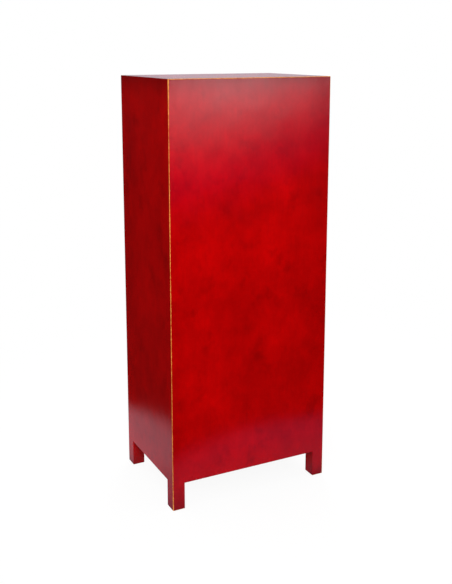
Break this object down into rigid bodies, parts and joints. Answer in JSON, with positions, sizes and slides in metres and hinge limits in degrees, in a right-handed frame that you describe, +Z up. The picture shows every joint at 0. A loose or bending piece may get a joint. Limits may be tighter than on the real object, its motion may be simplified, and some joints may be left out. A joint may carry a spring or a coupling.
{
  "type": "chinese wedding cabinet",
  "caption": "Tall narrow red lacquer cabinet on square legs, with flush sides and back, hinged doors with a round brass plate, and drawers below.",
  "frame": {"origin": "on the floor, under the middle of the cabinet's box with its brass fittings", "axes": "+Z up; the doors face -Y; +X to the right of someone who faces the doors"},
  "size_m": [0.66, 0.4816, 1.6],
  "materials": {
    "red_lacquer": "semi-gloss red lacquer over wood, rubbed through to gold at the edges",
    "bare_wood": "unfinished softwood, planed",
    "brass": "aged, satin"
  },
  "bodies": {
    "case": {"post_front_left": "red_lacquer", "post_front_right": "red_lacquer", "post_back_left": "red_lacquer", "post_back_right": "red_lacquer", "top_frame_front": "red_lacquer", "top_frame_back": "red_lacquer", "top_frame_left": "red_lacquer", "top_frame_right": "red_lacquer", "top_panel": "red_lacquer", "bottom_rail_front": "red_lacquer", "bottom_rail_back": "red_lacquer", "bottom_rail_left": "red_lacquer", "bottom_rail_right": "red_lacquer", "middle_rail": "red_lacquer", "drawer_divider": "red_lacquer", "side_panel_left": "red_lacquer", "side_panel_right": "red_lacquer", "back_panel": "red_lacquer", "front_apron": "red_lacquer", "apron_brackets": "red_lacquer", "bottom_board": "bare_wood", "compartment_floor": "bare_wood", "shelf_lower": "bare_wood", "shelf_upper": "bare_wood", "shelf_cleats": "bare_wood", "drawer_side_runners": "bare_wood", "drawer_middle_runner": "bare_wood", "hinge_post_leaves": "brass", "hinge_pins": "brass"},
    "door_right": {"door_right_hinge_stile": "red_lacquer", "door_right_lock_stile": "red_lacquer", "door_right_rails": "red_lacquer", "door_right_panel": "red_lacquer", "door_right_hinge_leaves": "brass", "door_right_face_plate": "brass", "door_right_eyes": "brass"},
    "pull_right": {"door_right_pull": "brass"},
    "drawer_right": {"drawer_right_front": "red_lacquer", "drawer_right_sides": "bare_wood", "drawer_right_back": "bare_wood", "drawer_right_bottom": "bare_wood", "drawer_right_plate": "brass", "drawer_right_eye": "brass"},
    "ring_right": {"drawer_right_ring": "brass"},
    "door_left": {"door_left_hinge_stile": "red_lacquer", "door_left_lock_stile": "red_lacquer", "door_left_rails": "red_lacquer", "door_left_panel": "red_lacquer", "door_left_hinge_leaves": "brass", "door_left_face_plate": "brass", "door_left_eyes": "brass"},
    "pull_left": {"door_left_pull": "brass"},
    "drawer_left": {"drawer_left_front": "red_lacquer", "drawer_left_sides": "bare_wood", "drawer_left_back": "bare_wood", "drawer_left_bottom": "bare_wood", "drawer_left_plate": "brass", "drawer_left_eye": "brass"},
    "ring_left": {"drawer_left_ring": "brass"}
  },
  "joints": [
    {"name": "door_right_hinge", "type": "hinge", "parent": "case", "child": "door_right", "pos_m": [0.281, -0.2302, 0.9345], "axis": [0, 0, 1], "range_deg": [0, 170]},
    {"name": "door_right_pull_swing", "type": "hinge", "parent": "door_right", "child": "pull_right", "pos_m": [0.034, -0.2338, 0.89661], "axis": [-1, 0, 0], "range_deg": [0, 100]},
    {"name": "drawer_right_slide", "type": "slide", "parent": "case", "child": "drawer_right", "axis": [0, -1, 0], "range_m": [0, 0.3]},
    {"name": "drawer_right_ring_swing", "type": "hinge", "parent": "drawer_right", "child": "ring_right", "pos_m": [0.147, -0.2338, 0.2149], "axis": [-1, 0, 0], "range_deg": [0, 100]},
    {"name": "door_left_hinge", "type": "hinge", "parent": "case", "child": "door_left", "pos_m": [-0.281, -0.2302, 0.9345], "axis": [0, 0, -1], "range_deg": [0, 170]},
    {"name": "door_left_pull_swing", "type": "hinge", "parent": "door_left", "child": "pull_left", "pos_m": [-0.034, -0.2338, 0.89661], "axis": [-1, 0, 0], "range_deg": [0, 100]},
    {"name": "drawer_left_slide", "type": "slide", "parent": "case", "child": "drawer_left", "axis": [0, -1, 0], "range_m": [0, 0.3]},
    {"name": "drawer_left_ring_swing", "type": "hinge", "parent": "drawer_left", "child": "ring_left", "pos_m": [-0.147, -0.2338, 0.2149], "axis": [-1, 0, 0], "range_deg": [0, 100]}
  ]
}
